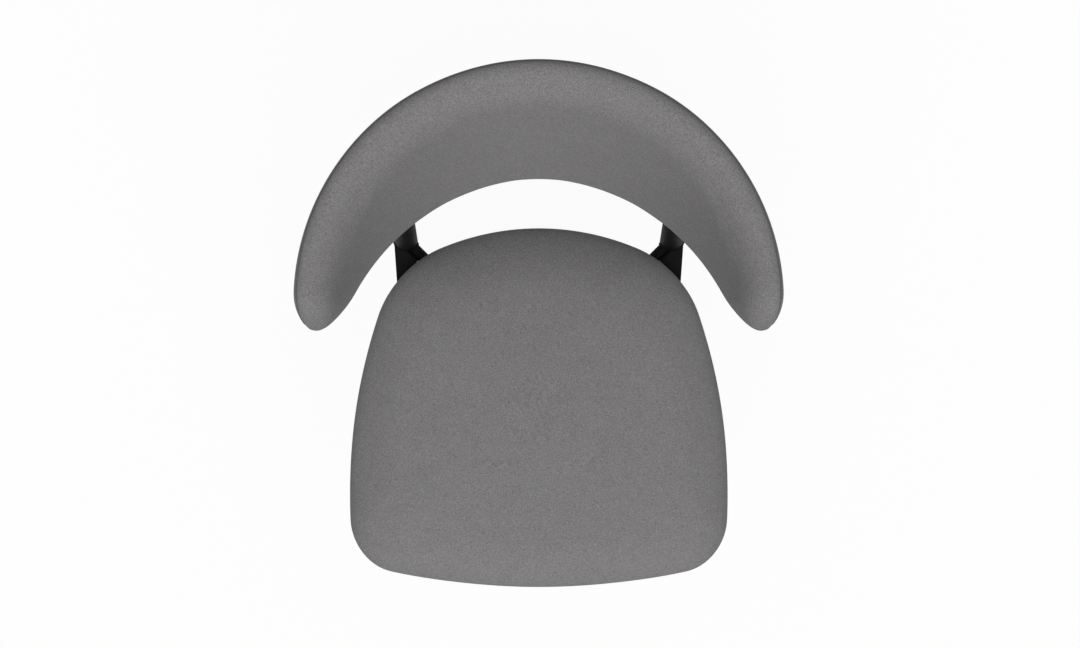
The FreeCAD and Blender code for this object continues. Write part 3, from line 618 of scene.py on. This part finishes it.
class Section:
    """One upright section of the back at an angle from the rear, shrunk by a scale at the arm tips."""

    def __init__(self, angle, scale=1.0):
        turn = math.radians(angle)
        share = abs(angle) / QUARTER
        self.radial = Vector((math.sin(turn), math.cos(turn), 0))
        inner = BACK_INNER_RADIUS + (ARM_INNER_RADIUS - BACK_INNER_RADIUS) * share ** INNER_POWER
        low = BACK_BOTTOM + (ARM_BOTTOM - BACK_BOTTOM) * share ** BOTTOM_POWER
        foot = BACK_CENTRE + self.radial * (inner + BACK_HALF) + UP * (low + BACK_END)
        head = BACK_CENTRE + self.radial * (BACK_RADIUS - BACK_END) + UP * (back_high.z - BACK_END)
        self.along = (head - foot).normalized()
        self.out = (self.radial - self.along * self.radial.dot(self.along)).normalized()
        self.length = (head - foot).length * scale
        self.foot = (foot + head) / 2 - self.along * (self.length / 2)
        self.end = BACK_END * scale
        self.half = BACK_HALF * scale

    def point(self, along, out):
        return self.foot + self.along * along + self.out * out

    def ring(self, shrink):
        """Points round the section: two bulged faces, round ends and a long roll at the upper front."""
        end, half = self.end - shrink, self.half - shrink
        points = []
        roll = min(ROLL_HEIGHT, ROLL_SHARE * self.length)
        front = self.length + end - roll
        crest = ROLL_CREST * end
        for step in range(FACE_STEPS):
            share = step / FACE_STEPS
            swell = end + (half - end) * math.sin(math.pi / 2 * share)
            points.append((front * share, -swell))
        for step in range(ROLL_STEPS):
            turn = math.pi / 2 * step / ROLL_STEPS
            points.append((front + roll * math.sin(turn), crest - (half + crest) * math.cos(turn)))
        for step in range(CREST_STEPS):
            turn = math.pi / 2 * step / CREST_STEPS
            points.append((self.length + end * math.cos(turn), crest + (end - crest) * math.sin(turn)))
        for step in range(FACE_STEPS):
            share = 1 - step / FACE_STEPS
            swell = end + (half - end) * math.sin(math.pi * share)
            points.append((self.length * share, swell))
        for step in range(END_STEPS):
            turn = math.pi * step / END_STEPS
            points.append((-end * math.sin(turn), end * math.cos(turn)))
        return [self.point(*spot) for spot in points]


def tip_scale(angle):
    """The scale of the section at an angle: full along the back, drawn to a round at the arm tips."""
    past = (abs(angle) - TIP_START) / TIP_SWEEP
    return math.sqrt(max(TIP_LEAST, 1 - max(0.0, past) ** 2))


def back_mesh():
    """The back's skin over its sections, from arm tip to arm tip."""
    steps = round(TIP_START / BACK_STEP)
    half = [TIP_START * step / steps for step in range(steps + 1)]
    for step in range(1, TIP_STEPS + 1):
        turn = math.radians(TIP_CLOSE) * step / TIP_STEPS
        half.append(TIP_START + TIP_SWEEP * math.sin(turn))
    angles = [-angle for angle in reversed(half[1:])] + half
    rings = [Section(angle, tip_scale(angle)).ring(BACK_SHRINK * tip_scale(angle)) for angle in angles]
    ends = []
    for side in (-1, 1):
        section = Section(side * ARM_SWEEP, tip_scale(ARM_SWEEP))
        ends.append([section.point(section.length / 2, 0)])
    return ring_mesh("back_start", [ends[0], *rings, ends[1]])


SEAM_TURN = math.radians(48)
SEAM_DEPTH = 0.0011
SEAM_WIDTH = 0.0022
BACK_CAP = 0.0012


def seam_share(point, normal):
    """How near a point lies to the seam round the edge of the back's rear face, from 0 to 1."""
    away = point - BACK_CENTRE
    section = Section(math.degrees(math.atan2(away.x, away.y)))
    turn = math.asin(max(-1.0, min(1.0, normal.dot(section.out))))
    return math.exp(-((turn - SEAM_TURN) * BACK_END / SEAM_WIDTH) ** 2)


soft_back = puffed(back_mesh(), BACK_CAP, lambda point: False)
# The seam shares are stored for the cloth's painted shade along the seam, and they also press in the seam's
# real dent.
seam_shade_values = soft_back.attributes.new("seam", "FLOAT", "POINT")
seams = [(seam_share(vertex.co, vertex.normal), vertex.normal.copy()) for vertex in soft_back.vertices]
for i, (share, way) in enumerate(seams):
    seam_shade_values.data[i].value = share
    soft_back.vertices[i].co -= way * (SEAM_DEPTH * share)
back = piece("back_cushion", soft_back, FABRIC)
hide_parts("back_cover", "back_foam_front", "back_foam_rear")


# Bottom cloth under the seat, stretched over the board and stapled near its edge

LINING_SAG = 0.0022
LINING_LIFT = 0.0004
LINING_RINGS = 26
HELD_REACH = 0.05
EDGE_SLOPE = 3
RIPPLE_RATE = 30
RIPPLE_SHARE = 0.3
clamps = [tuple(Vector(corner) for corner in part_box(name)) for name in NODES
          if "plate" in name or "bracket" in name]


def clear_of_plates(point):
    """How free the cloth is of the plates that press it up: none at a plate, one at a reach from all."""
    reach = 1.0
    for low, high in clamps:
        dx = max(low.x - point.x, 0, point.x - high.x)
        dy = max(low.y - point.y, 0, point.y - high.y)
        reach = min(reach, math.hypot(dx, dy) / HELD_REACH)
    return reach


def lining_rings(outline):
    """Rings of the cloth from its edge to its middle, where it sags a little between the plates."""
    rings = []
    for step in range(LINING_RINGS + 1):
        share = step / LINING_RINGS
        ring = []
        for point in outline:
            spot = SEAT_CENTRE + (point - SEAT_CENTRE) * (1 - share)
            slack = clear_of_plates(spot) * math.sin(math.pi / 2 * min(1.0, share * EDGE_SLOPE))
            ripple = noise.noise(Vector((spot.x * RIPPLE_RATE, spot.y * RIPPLE_RATE, 1.0)))
            sag = LINING_SAG * slack * (1 - RIPPLE_SHARE + RIPPLE_SHARE * ripple)
            ring.append(Vector((spot.x, spot.y, lining_low.z + LINING_LIFT - sag)))
        rings.append(ring)
    rings[-1] = [rings[-1][0]]
    return rings


def outline_area(points):
    """The area inside a closed outline."""
    pairs = zip(points, points[1:] + points[:1])
    return abs(sum(a.x * b.y - b.x * a.y for a, b in pairs)) / 2


LINING_INSET = seat_high.x - lining_high.x
lining_edge = seat_outline(LINING_INSET)
lining = piece("seat_bottom_cloth", ring_mesh("lining", lining_rings(lining_edge)), LINING)
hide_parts("seat_lining")
outline_area(lining_edge)


# Weld beads where the tubes meet

STEEP = 0.9


def bar_rings(path, radius_of, closed, sides=8):
    """Rings of a round bar along a path, with a radius for each point's number."""
    rings = []
    count = len(path)
    for i, point in enumerate(path):
        ahead = path[(i + 1) % count] if closed or i < count - 1 else point
        behind = path[i - 1] if closed or i > 0 else point
        along = (ahead - behind).normalized()
        first = along.cross(UP if abs(along.z) < STEEP else X_WAY).normalized()
        second = along.cross(first)
        turns = [2 * math.pi * side / sides for side in range(sides)]
        rings.append([point + (first * math.cos(t) + second * math.sin(t)) * radius_of(i) for t in turns])
    if not closed:
        rings = [[path[0]], *rings, [path[-1]]]
    return rings


BEAD_R = 0.0017
BEAD_STEPS = 48
BEAD_RIPPLE = 0.15


def bead(path, closed=True, thick=BEAD_R):
    """A rippled weld bead along a path of points."""
    def radius(i):
        return thick * (1 + BEAD_RIPPLE * math.sin(i * math.pi / 2))
    return ring_mesh("bead", bar_rings(path, radius, closed), closed)


def round_path(centre, first, second, radius, start=0.0, sweep=2 * math.pi):
    """Points of an arc about a centre in the plane of two square directions."""
    turns = [start + sweep * step / BEAD_STEPS for step in range(BEAD_STEPS)]
    return [centre + (first * math.cos(t) + second * math.sin(t)) * radius for t in turns]


def tube_meeting(centre, direction, axis):
    """Where the skin of a cross arm first meets the round skin of a leg whose axis passes its centre."""
    side = direction.cross(UP).normalized()
    path = []
    for start in round_path(centre, side, UP, ARM_R):
        away = start - centre
        way = direction - axis * direction.dot(axis)
        rest = away - axis * away.dot(axis)
        half = way.dot(rest) / way.length_squared
        room = (rest.length_squared - TUBE_R ** 2) / way.length_squared
        path.append(start + direction * (-half - math.sqrt(half ** 2 - room)))
    return path


HUB = (hub_low + hub_high) / 2
HUB_HALF = 0.015
REAR_POST_X = 0.161
FRONT_LEG_X = 0.165
POST_WAY = Vector((-0.0221, 0.1761, 0.9841)).normalized()
FRONT_WAY = Vector((-0.019, 0.028, 0.3995)).normalized()
PLATE_Z = Vector(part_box("hub_plate")[0]).z
GUSSET_FROM = math.radians(-102)
GUSSET_SWEEP = math.radians(102)
FILLET_R = 0.0022
FILLET_BESIDE = 0.0071
FILLET_DROP = 0.0016
FILLET_FROM = 0.0120
FILLET_TO = 0.0272
FILLET_STEPS = 16


def mirrored(vector, side):
    """A direction of the right side as it is on a side, 1 for right and -1 for left."""
    return Vector((vector.x * side, vector.y, vector.z))


def fillet_path(joint, way, side):
    """Points of the fillet between a gusset's slanted edge and the cross arm that it stands beside."""
    start = Vector((joint.x, joint.y, PLATE_Z - FILLET_DROP)) + UP.cross(way) * (side * FILLET_BESIDE)
    stretch = (FILLET_TO - FILLET_FROM) / FILLET_STEPS
    return [start + way * (FILLET_FROM + stretch * step) for step in range(FILLET_STEPS + 1)]


beads = []
for side in (-1, 1):
    for reach, rear, way in ((REAR_POST_X, 1, POST_WAY), (FRONT_LEG_X, -1, FRONT_WAY)):
        joint = Vector((side * reach, HUB.y + rear * reach, HUB.z))
        axis = mirrored(way, side)
        direction = (joint - HUB).normalized()
        hub_face = HUB + direction * HUB_HALF
        beads.append(bead(round_path(hub_face, direction.cross(UP), UP, ARM_R)))
        beads.append(bead(tube_meeting(joint, direction, axis)))
        collar = joint + axis * ((PLATE_Z - joint.z) / axis.z)
        if rear < 0:
            beads.append(bead(round_path(collar, X_WAY, Y_WAY, TUBE_R)))
        else:
            across = mirrored(X_WAY, side)
            beads.append(bead(round_path(collar, across, Y_WAY, TUBE_R, GUSSET_FROM, GUSSET_SWEEP), False))
            beads.append(bead(fillet_path(joint, -direction, side), False, FILLET_R))


def joined(name, meshes):
    """One mesh of several."""
    work = bmesh.new()
    for mesh in meshes:
        work.from_mesh(mesh)
    result = bpy.data.meshes.new(name)
    work.to_mesh(result)
    work.free()
    return result


piece("weld_beads", joined("welds", beads), POWDER)


# Seat bolts: button heads with a hexagon socket

SAME_SPOT = 1e-6


def islands(name):
    """Lowest and highest corner of each separate solid of a node."""
    work = bmesh.new()
    work.from_mesh(NODES[name].data)
    bmesh.ops.remove_doubles(work, verts=work.verts, dist=SAME_SPOT)
    seen, boxes = set(), []
    for seed in work.verts:
        if seed in seen:
            continue
        group, queue = [], [seed]
        seen.add(seed)
        while queue:
            vertex = queue.pop()
            group.append(vertex.co.copy())
            for edge in vertex.link_edges:
                other = edge.other_vert(vertex)
                if other not in seen:
                    seen.add(other)
                    queue.append(other)
        boxes.append((Vector([min(p[i] for p in group) for i in range(3)]),
                      Vector([max(p[i] for p in group) for i in range(3)])))
    work.free()
    return boxes


BOLT_HEAD = 0.004
BOLT_SHANK = 0.003
SOCKET_HALF = 0.002
SOCKET_DEPTH = 0.0022
SOCKET_LIP = 0.0003
SOCKET_FLARE = 1.12
HEAD_SIDES = 36
HEAD_ROUND = ((0.68, 1.0), (0.82, 0.93), (0.93, 0.75), (0.985, 0.5), (1.0, 0.2), (1.0, 0.0))


def hexagon(turn):
    """Reach of a hexagon of half width one at a turn."""
    sixth = math.pi / 3
    return 1 / math.cos((turn + sixth / 2) % sixth - sixth / 2)


def button_bolt(low, high):
    """A bolt standing head down in its box: a domed head with a hexagon socket, and a plain shank."""
    centre = (low + high) / 2
    head_r = (high.x - low.x) / 2
    head_top = low.z + BOLT_HEAD
    turns = [2 * math.pi * side / HEAD_SIDES for side in range(HEAD_SIDES)]

    def ring(reach_of, height):
        level = Vector((centre.x, centre.y, height))
        return [level + (X_WAY * math.cos(turn) + Y_WAY * math.sin(turn)) * reach_of(turn) for turn in turns]

    floor_z = low.z + SOCKET_DEPTH
    rings = [[Vector((centre.x, centre.y, floor_z))]]
    rings.append(ring(lambda turn: SOCKET_HALF * hexagon(turn), floor_z))
    rings.append(ring(lambda turn: SOCKET_HALF * hexagon(turn), low.z + SOCKET_LIP))
    rings.append(ring(lambda turn: SOCKET_HALF * hexagon(turn) * SOCKET_FLARE, low.z))
    for reach, drop in HEAD_ROUND:
        rings.append(ring(lambda turn: head_r * reach, head_top - BOLT_HEAD * drop))
    rings.append(ring(lambda turn: BOLT_SHANK, head_top))
    rings.append(ring(lambda turn: BOLT_SHANK, high.z))
    rings.append([Vector((centre.x, centre.y, high.z))])
    return ring_mesh("bolt", rings)


bolts = [button_bolt(low, high) for low, high in islands("seat_bolts")]
seat_bolts = piece("seat_button_bolts", joined("bolts", bolts), ZINC)
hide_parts("seat_bolts")


# Staples that hold the bottom cloth near its edge

STAPLE_GAP = 0.026
STAPLE_INSET = 0.006
STAPLE_HALF = 0.005
STAPLE_WIRE = 0.0005
STAPLE_LEG = 0.003
STAPLE_BEND = 0.001
BEND_MIDDLE = 0.3
STAPLE_SIDES = 6


def staple(middle, along):
    """A bent wire staple whose crown lies flat under the cloth."""
    path = []
    for end in (-1, 1):
        tip = middle + along * (end * STAPLE_HALF)
        inward = along * -end
        knee = [tip + UP * STAPLE_LEG, tip + UP * STAPLE_BEND,
                tip + (inward + UP) * (STAPLE_BEND * BEND_MIDDLE), tip + inward * STAPLE_BEND]
        path += knee if end < 0 else reversed(knee)
    return ring_mesh("staple", bar_rings(path, lambda i: STAPLE_WIRE, False, STAPLE_SIDES))


staples = []
staple_line = seat_outline(LINING_INSET + STAPLE_INSET)
walked = 0.0
for first, second in zip(staple_line, staple_line[1:] + staple_line[:1]):
    walked += (second - first).length
    if walked > STAPLE_GAP:
        walked -= STAPLE_GAP
        middle = Vector((*((first + second) / 2).xy, lining_low.z - STAPLE_WIRE / 2))
        staples.append(staple(middle, (second - first).normalized()))
piece("bottom_cloth_staples", joined("staples", staples), ZINC)


# Floor, light and camera

FLOOR_GLOW = 0.92
FLOOR_PALE = 0.85
FLOOR_BOUNCE = 0.2
FLOOR_HALF = 20.0
SKY_LOW = 0.2
SKY_HIGH = 0.64


def seen_rays(tree):
    """One where a ray comes from the camera, a mirror face or glass, and none elsewhere."""
    path = tree.nodes.new("ShaderNodeLightPath")
    seen = path.outputs["Is Camera Ray"]
    for ray in ("Is Glossy Ray", "Is Transmission Ray"):
        either = tree.nodes.new("ShaderNodeMath")
        either.operation = "MAXIMUM"
        tree.links.new(seen, either.inputs[0])
        tree.links.new(path.outputs[ray], either.inputs[1])
        seen = either.outputs[0]
    return seen


def floor_material():
    """Studio floor, seen as near white with a faint shadow, which throws little light back up."""
    material = bpy.data.materials.new("studio_floor")
    material.use_nodes = True
    tree = material.node_tree
    tree.nodes.clear()
    output = tree.nodes.new("ShaderNodeOutputMaterial")
    mix = tree.nodes.new("ShaderNodeMixShader")
    matt = tree.nodes.new("ShaderNodeBsdfDiffuse")
    glow = tree.nodes.new("ShaderNodeEmission")
    glow.inputs["Strength"].default_value = 1.0
    seen = seen_rays(tree)
    shade = tree.nodes.new("ShaderNodeMapRange")
    shade.inputs["To Min"].default_value = FLOOR_BOUNCE
    shade.inputs["To Max"].default_value = FLOOR_PALE
    tree.links.new(seen, shade.inputs["Value"])
    tree.links.new(shade.outputs["Result"], matt.inputs["Color"])
    share = tree.nodes.new("ShaderNodeMath")
    share.operation = "MULTIPLY"
    share.inputs[1].default_value = FLOOR_GLOW
    tree.links.new(seen, share.inputs[0])
    tree.links.new(share.outputs[0], mix.inputs["Fac"])
    tree.links.new(matt.outputs[0], mix.inputs[1])
    tree.links.new(glow.outputs[0], mix.inputs[2])
    tree.links.new(mix.outputs[0], output.inputs["Surface"])
    return material


floor_mesh = bpy.data.meshes.new("floor")
corners = [(-FLOOR_HALF, -FLOOR_HALF, 0), (FLOOR_HALF, -FLOOR_HALF, 0),
           (FLOOR_HALF, FLOOR_HALF, 0), (-FLOOR_HALF, FLOOR_HALF, 0)]
floor_mesh.from_pydata(corners, [], [(0, 1, 2, 3)])
floor_mesh.materials.append(floor_material())
floor = bpy.data.objects.new("floor", floor_mesh)
bpy.context.scene.collection.objects.link(floor)


def studio_world():
    """A grey surround that grows lighter overhead, as under a large soft box, and is seen as white."""
    world = bpy.data.worlds.new("studio")
    world.use_nodes = True
    tree = world.node_tree
    where = tree.nodes.new("ShaderNodeTexCoord")
    parts = tree.nodes.new("ShaderNodeSeparateXYZ")
    ramp = tree.nodes.new("ShaderNodeMapRange")
    ramp.inputs["To Min"].default_value = SKY_LOW
    ramp.inputs["To Max"].default_value = SKY_HIGH
    tree.links.new(where.outputs["Generated"], parts.inputs[0])
    tree.links.new(parts.outputs["Z"], ramp.inputs["Value"])
    level = tree.nodes.new("ShaderNodeMath")
    level.operation = "MAXIMUM"
    tree.links.new(ramp.outputs["Result"], level.inputs[0])
    tree.links.new(seen_rays(tree), level.inputs[1])
    tree.links.new(level.outputs[0], tree.nodes["Background"].inputs["Color"])
    return world


bpy.context.scene.world = studio_world()

KEY_WAY = Vector((0.06, -0.77, 1.0))
KEY_STRENGTH = 2.1
KEY_SPREAD = math.radians(70)
key_data = bpy.data.lights.new("key", "SUN")
key_data.energy = KEY_STRENGTH
key_data.angle = KEY_SPREAD
key = bpy.data.objects.new("key", key_data)
key.rotation_euler = KEY_WAY.to_track_quat("Z", "Y").to_euler()
bpy.context.scene.collection.objects.link(key)

CAMERA_SPOT = (0.0014, 0.0195, 3.0)
CAMERA_LENS = 71.4
CAMERA_SENSOR = 36
camera_data = bpy.data.cameras.new("camera")
camera_data.sensor_width = CAMERA_SENSOR
camera_data.lens = CAMERA_LENS
camera = bpy.data.objects.new("camera", camera_data)
camera.location = CAMERA_SPOT
bpy.context.scene.collection.objects.link(camera)
bpy.context.scene.camera = camera
bpy.context.scene.view_settings.view_transform = "Standard"
